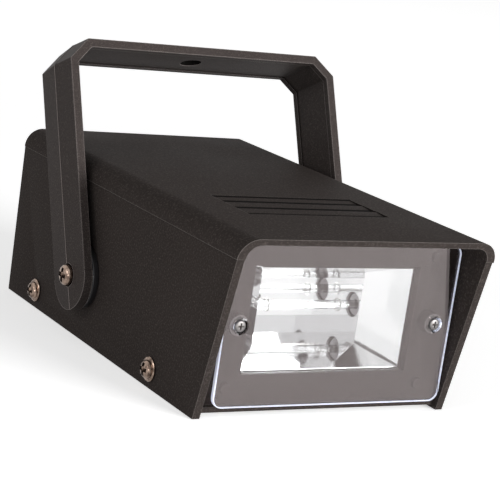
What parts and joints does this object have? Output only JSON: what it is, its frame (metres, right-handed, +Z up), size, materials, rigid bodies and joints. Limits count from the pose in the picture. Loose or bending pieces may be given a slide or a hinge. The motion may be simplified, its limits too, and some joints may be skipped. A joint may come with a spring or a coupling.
{
  "type": "strobe light",
  "caption": "Small stage strobe: black housing with raked hood over a clear front plate, chrome trough with a straight flash tube, and a tilting yoke.",
  "frame": {"origin": "middle of the plan outline, on the surface that the side walls stand on", "axes": "+X to the side, -Y the way the light shines, +Z up, with the housing level on its side walls and the yoke leaning back"},
  "size_m": [0.1234, 0.188, 0.1096],
  "materials": {
    "black_plastic": "black moulded plastic with a fine matt grain",
    "black_nylon": "black nylon, satin",
    "yoke_plastic": "black moulded plastic, smooth satin",
    "clear_plastic": "clear acrylic sheet, polished",
    "bright_chrome": "bright mirror finish",
    "tube_glass": "clear glass",
    "pale_rubber": "silicone rubber",
    "warm_nickel": "plated steel with a warm tint",
    "silver_steel": "plated steel",
    "board_laminate": "printed board laminate",
    "can_sleeve": "dark shrink sleeve",
    "red_film": "dipped resin",
    "copper_winding": "enamelled copper wire",
    "white_ceramic": "white ceramic",
    "black_resin": "moulded resin",
    "green_plastic": "moulded plastic",
    "red_lead": "lead insulation",
    "white_lead": "lead insulation"
  },
  "bodies": {
    "housing": {"ballast_resistor": "white_ceramic", "base_tray": "black_plastic", "bezel_screw_left": "silver_steel", "bezel_screw_right": "silver_steel", "board_screw_1": "silver_steel", "board_screw_2": "silver_steel", "board_screw_3": "silver_steel", "board_screw_4": "silver_steel", "cable_gland": "black_nylon", "circuit_board": "board_laminate", "clear_plate": "clear_plastic", "control_ribbon": "white_lead", "diode_1": "black_resin", "diode_2": "black_resin", "electrode_left": "silver_steel", "electrode_right": "silver_steel", "film_capacitor": "red_film", "flash_tube": "tube_glass", "front_bezel": "black_plastic", "fuse": "tube_glass", "fuse_clip_front": "silver_steel", "fuse_clip_rear": "silver_steel", "gland_nut": "black_nylon", "lamp_lead_left": "red_lead", "lamp_lead_right": "red_lead", "pivot_nut_left": "silver_steel", "pivot_nut_right": "silver_steel", "pivot_screw_left": "warm_nickel", "pivot_screw_right": "warm_nickel", "plate_screw_left": "silver_steel", "plate_screw_right": "silver_steel", "reflector": "bright_chrome", "reflector_screw_1": "silver_steel", "reflector_screw_2": "silver_steel", "reflector_screw_3": "silver_steel", "reflector_screw_4": "silver_steel", "side_screw_front_left": "warm_nickel", "side_screw_front_right": "warm_nickel", "side_screw_rear_left": "warm_nickel", "side_screw_rear_right": "warm_nickel", "spacer_disc_left": "black_nylon", "spacer_disc_right": "black_nylon", "speed_control": "silver_steel", "speed_control_nut": "silver_steel", "storage_capacitor_left": "can_sleeve", "storage_capacitor_right": "can_sleeve", "terminal_block": "green_plastic", "thyristor": "black_resin", "top_cover": "black_plastic", "trigger_coil": "copper_winding", "trigger_lead": "white_lead", "trigger_wire": "silver_steel", "tube_holder_left": "pale_rubber", "tube_holder_right": "pale_rubber"},
    "yoke": {"yoke": "yoke_plastic"},
    "rate_knob": {"speed_knob": "black_nylon", "speed_shaft": "silver_steel"}
  },
  "joints": [
    {"name": "yoke_tilt", "type": "hinge", "parent": "housing", "child": "yoke", "pos_m": [0, 0.0139, 0.0244], "axis": [1, 0, 0], "range_deg": [-72, 75]},
    {"name": "rate_turn", "type": "hinge", "parent": "housing", "child": "rate_knob", "pos_m": [0.026, 0.085, 0.038], "axis": [0, 1, 0], "range_deg": [-140, 140]}
  ]
}
